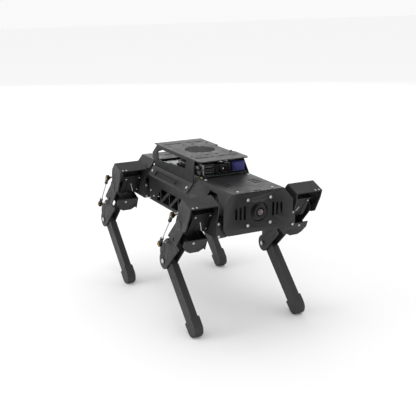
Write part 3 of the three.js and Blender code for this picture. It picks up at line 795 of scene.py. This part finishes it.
def roll_servo_case(mesh):
    """Servo whose shaft lies along the robot."""
    outline = [(22.6, -16)] + arc(*ROLL_AXIS, 9.9, -90, 90, 16) + [(22.6, 4)]
    cuts = [-13.6, -6, 15.4, 23.4]
    for low, high in zip(cuts, cuts[1:]):
        slab(mesh, outline, low + 0.05, high - 0.05, ALONG_Y, 0.5)
    for level in cuts[1:3]:
        slab(mesh, inset(outline, 0.8), level - 0.6, level + 0.6, ALONG_Y)
    shaft = (ROLL_AXIS[0], 0, ROLL_AXIS[1])
    lathe(mesh, [(7.9, 22), (7.9, 27.2), (7.4, 27.7), (3, 27.7)], at(shaft, (0, -1, 0)), 40)
    lathe(mesh, [(5.9, -14), (5.9, 14.8), (5.2, 15.5)], at(shaft, (0, 1, 0)), 32)


def servo_label(mesh):
    """White printed line on the front of the pitch servo."""
    (y0, z0), (y1, z1) = (servo_point((0, 0), PITCH_DIRECTION, reach, 10.02) for reach in (12.5, -7))
    start, end = Vector((82.3, y0, z0)), Vector((75, y1, z1))
    normal = Vector((0, -PITCH_DIRECTION[1], PITCH_DIRECTION[0]))
    where = at((start + end) / 2, normal, end - start)
    slab(mesh, rounded_rect(0, 0, 0.8, (end - start).length, 0.3), -0.2, 0.12, where)


def pitch_servo_screws(mesh):
    normal = (0, -PITCH_DIRECTION[1], PITCH_DIRECTION[0])
    for reach, x in ((-2.7, 68.6), (24, 69.5), (24, 92.5)):
        y, z = servo_point((0, 0), PITCH_DIRECTION, reach, 9.9)
        pan_screw(mesh, (x, y, z), normal, 1.4, 0.7)


def servo_plug(mesh):
    """Lead socket at the shaft end of the pitch servo."""
    for x in (68.5, 73.5, 78.5):
        corners = [servo_point((0, 0), PITCH_DIRECTION, reach, side) for reach, side in
                   ((-9.9, -6), (-9.9, 6.5), (-13, 6.5), (-13, -6))]
        slab(mesh, corners, x - 2.4, x + 2.4, ALONG_X, 0.3)


def end_plate_screw(mesh):
    y, z = servo_point(KNEE_SERVO, KNEE_DIRECTION, 32.05, -6)
    pan_screw(mesh, (88.5, y, z), (0, KNEE_DIRECTION[0], KNEE_DIRECTION[1]), 1.9, 1.0)


# ---------------------------------------------------------------- hips
def yoke_screws(mesh):
    roll_x, roll_z = ROLL_AXIS
    for z in (3.2, -14.8):
        screw(mesh, (61, -29.85, z), (0, -1, 0), 1.9, 0.6, 1.6)
        screw(mesh, (61, 17.65, z), (0, 1, 0), 1.9, 1.0, 1.6)
    screw(mesh, (roll_x, 17.65, roll_z), (0, 1, 0), 2.4, 1.3, 2)
    for x in (103, 97):
        pan_screw(mesh, (x, -33.3, 32.4), (0, -0.363, 0.932), 1.5, 0.8)


def yoke_boss(mesh):
    """Raised ring round the pitch shaft on the outer cheek, in grey metal as a painted highlight on its rim."""
    ring = [(6.6, 107.6), (6.6, 108.6), (6.3, 108.9), (5.6, 108.9), (5.4, 108.6), (5.4, 107.9), (0.2, 107.9)]
    lathe(mesh, ring, ALONG_X, 48)


def yoke_boss_screw(mesh):
    screw(mesh, (107.95, 0, 0), AXIS_X, 4.6, 1.0, 2.6)


# ---------------------------------------------------------------- knee linkage
def crank_stud(mesh):
    y, z = UPPER_BALL
    lathe(mesh, [(2.9, 100.2), (2.9, 101.6), (1.5, 101.9), (1.5, 113.1), (1.2, 113.4)],
          Matrix.Translation((0, y, z)) @ ALONG_X, 20)


def ball_collars(point, near, far):
    """Brass faces on both sides of a ball joint."""
    def draw(mesh):
        where = Matrix.Translation((0, *point)) @ ALONG_X
        for low, high in (near, far):
            lathe(mesh, [(1.9, low), (2.7, low + 0.2), (2.7, high - 0.2), (1.9, high)], where, 24)
    return draw


def stud_nut(point, x, across=4.8, height=1.1):
    def draw(mesh):
        hex_nut(mesh, (x, *point), AXIS_X, across, height)
    return draw


def rod_line():
    start = Vector((UPPER_BALL_X, *UPPER_BALL))
    end = Vector((LOWER_BALL_X, *LOWER_BALL))
    return start, end


def threaded_rod(mesh):
    start, end = rod_line()
    along = (end - start).normalized()
    length = (end - start).length
    low, high, pitch = 9.2, length - 9.2, 0.5
    profile, place = [(0.7, low)], low
    while place < high:
        profile += [(1.02, place), (1.2, place + pitch / 2)]
        place += pitch
    lathe(mesh, profile + [(0.7, high)], at(start, along, AXIS_X), 12)


def rod_housing(mesh):
    """Moulded ends of the push rod, each with a ring round its ball and a tapered neck."""
    start, end = rod_line()
    for centre, aim in ((start, end - start), (end, start - end)):
        along = aim.normalized()
        outer = arc(0, 0, 4.5, 0, 360, 32)[:-1]
        bore = arc(0, 0, 2.15, 0, 360, 32)[:-1]
        ring = Matrix.Translation(centre) @ ALONG_X
        rim = inset(outer, 0.9)
        loops = [(bore, -2.1), (rim, -2.5), (outer, -1.7), (outer, 1.7), (rim, 2.5), (bore, 2.1),
                 (bore, -2.1)]
        strip(mesh, [[ring @ Vector((x, y, h)) for x, y in points] for points, h in loops], False, False)
        lathe(mesh, [(2.2, 3.9), (3.0, 4.6), (2.9, 7), (2.5, 7.6), (2.5, 13.4), (2.8, 13.8), (2.8, 15.6),
                     (2.3, 16.2)], at(centre, along, AXIS_X), 24)


def shank_stud(mesh):
    y, z = LOWER_BALL
    lathe(mesh, [(1.9, 93.05), (1.9, 95.6), (1.5, 95.9), (1.5, 107.8), (1.2, 108.2)],
          Matrix.Translation((0, y, z)) @ ALONG_X, 20)


def knee_bolt(mesh):
    y, z = KNEE
    screw(mesh, (95.8, y, z), AXIS_X, 3.55, 2.4, 2.6)
    lathe(mesh, [(1.9, 77.7), (1.9, 96)], Matrix.Translation((0, y, z)) @ ALONG_X, 20)
    hex_nut(mesh, (79.6, y, z), -AXIS_X, 6.0, 2.6)


def knee_washer(mesh):
    """Washer under the head of the knee bolt."""
    lathe(mesh, [(4.9, 95.25), (4.9, 95.7), (4.5, 95.85), (3.4, 95.85)],
          Matrix.Translation((0, *KNEE)) @ ALONG_X, 36)


def plate_hole_shade(mesh):
    """Black disc in the round hole of the outer thigh plate, standing in as painted shade inside the hole."""
    where = Matrix.Translation((0, *on_thigh(77.5, -3.8))) @ ALONG_X
    lathe(mesh, [(2.95, 103.5), (2.95, 104.3), (2.5, 104.4), (1.7, 103.9), (0.2, 103.8)], where, 28)


def thigh_rivets(mesh):
    """Screws through the thigh plates into the knee servo."""
    for s, n in ((72, -7), (84, -9), (78, 9), (90, 3)):
        screw(mesh, (66.75, *on_thigh(s, n)), -AXIS_X, 1.9, 0.9, 1.5)


def foot_seam(mesh):
    """Moulding line and grip ribs round the sole of the boot."""
    centre = on_thigh(8.2, -116)
    where = Matrix.Translation((0, *centre)) @ ALONG_X
    for low in (81.6, 84.4, 87.2, 90, 92.8):
        turn = [(12.06 * math.cos(a), 12.06 * math.sin(a)) for a in
                (math.radians(-55 - 160 * k / 24) for k in range(25))]
        inner = [(p[0] * 0.97, p[1] * 0.97) for p in turn][::-1]
        slab(mesh, turn + inner, low, low + 1.0, where)


def leg_details():
    leg_piece("pitch_case", pitch_servo_case, "hip", "servo_plastic", ["pitch_servo"])
    leg_piece("pitch_plug", servo_plug, "hip", "black_gloss")
    leg_piece("pitch_label", servo_label, "hip", "white_mark")
    leg_piece("pitch_screws", pitch_servo_screws, "hip", "steel_hardware")
    leg_piece("yoke_screws", yoke_screws, "hip", "steel_hardware")
    # the grey boss ring is a painted highlight on the rim of the boss
    leg_piece("yoke_boss", yoke_boss, "hip", "port_metal")
    leg_piece("yoke_boss_screw", yoke_boss_screw, "hip", "black_gloss")
    leg_piece("knee_case", knee_servo_case, "thigh", "servo_plastic", ["knee_servo"])
    leg_piece("end_screws", end_plate_screw, "thigh", "steel_hardware")
    leg_piece("thigh_screws", thigh_rivets, "thigh", "steel_hardware")
    # the black disc in the thigh plate hole is painted shade
    leg_piece("plate_hole_shade", plate_hole_shade, "thigh", "black_gloss")
    leg_piece("knee_hardware", knee_bolt, "thigh", "steel_hardware", ["knee_bolt"])
    leg_piece("knee_washer", knee_washer, "thigh", "servo_plastic")
    leg_piece("roll_case", roll_servo_case, "torso", "servo_plastic", ["roll_servo"])
    leg_piece("crank_stud", crank_stud, "crank", "steel_hardware")
    leg_piece("crank_collar", ball_collars(UPPER_BALL, (106.2, 107.2), (112.6, 113.1)), "crank", "brass_ball")
    leg_piece("crank_nut", stud_nut(UPPER_BALL, 105.5, 5.0, 0.65), "crank", "steel_hardware")
    leg_piece("threaded_rod", threaded_rod, "rod", "steel_hardware", ["push_rod"])
    leg_piece("rod_ends", rod_housing, "rod", "black_gloss")
    leg_piece("shank_stud", shank_stud, "shank", "steel_hardware")
    leg_piece("shank_collar", ball_collars(LOWER_BALL, (100.6, 101.8), (107.3, 108)), "shank", "brass_ball")
    leg_piece("shank_nut", stud_nut(LOWER_BALL, 98.6, 5.2, 1.9), "shank", "steel_hardware")
    leg_piece("foot_ribs", foot_seam, "shank", "rubber_foot")


# ---------------------------------------------------------------- stage
def stage():
    floor = bpy.data.meshes.new("floor")
    size = 6                         # half its width, in metres
    floor.from_pydata([(-size, -size, 0), (size, -size, 0), (size, size, 0), (-size, size, 0)],
                      [], [(0, 1, 2, 3)])
    ground = bpy.data.objects.new("floor", floor)
    bpy.context.scene.collection.objects.link(ground)
    ground.location.z = CAD_BOUNDS[0].z - 0.0001
    pale = bpy.data.materials.new("pale_floor")
    pale.use_nodes = True
    pale.node_tree.nodes["Principled BSDF"].inputs["Base Color"].default_value = (0.96, 0.96, 0.96, 1)
    pale.node_tree.nodes["Principled BSDF"].inputs["Roughness"].default_value = 0.9
    floor.materials.append(pale)

    world = bpy.data.worlds.new("studio")
    world.use_nodes = True
    world.node_tree.nodes["Background"].inputs["Color"].default_value = (1, 1, 1, 1)
    world.node_tree.nodes["Background"].inputs["Strength"].default_value = 0.95
    bpy.context.scene.world = world


def softbox(name, place, size, power, target=(0, 0, 0.12)):
    light = bpy.data.lights.new(name, "AREA")
    light.shape = "RECTANGLE"
    light.size, light.size_y = size
    light.energy = power
    thing = bpy.data.objects.new(name, light)
    bpy.context.scene.collection.objects.link(thing)
    thing.location = place
    aim = Vector(target) - Vector(place)
    thing.rotation_euler = aim.to_track_quat("-Z", "Y").to_euler()


def lights():
    softbox("left", (-1.9, 0.5, 0.7), (0.9, 0.8), 9)
    softbox("back", (0.9, 2.1, 0.8), (1.8, 0.9), 8)
    softbox("top", (-0.3, 0.3, 1.9), (0.9, 0.9), 3.5)


def camera():
    data = bpy.data.cameras.new("camera")
    data.lens = 71.13
    data.sensor_width = 36
    thing = bpy.data.objects.new("camera", data)
    bpy.context.scene.collection.objects.link(thing)
    azimuth, elevation = math.radians(-28.464), math.radians(16.33)
    back = Vector((math.sin(azimuth) * math.cos(elevation), -math.cos(azimuth) * math.cos(elevation),
                   math.sin(elevation)))
    thing.location = (-0.5874, -1.1163, 0.5094)
    thing.rotation_euler = (-back).to_track_quat("-Z", "Y").to_euler()
    bpy.context.scene.camera = thing
    bpy.context.scene.view_settings.view_transform = "Standard"


camera()
stage()
lights()
torso_details()
leg_details()
dress_cad_nodes()
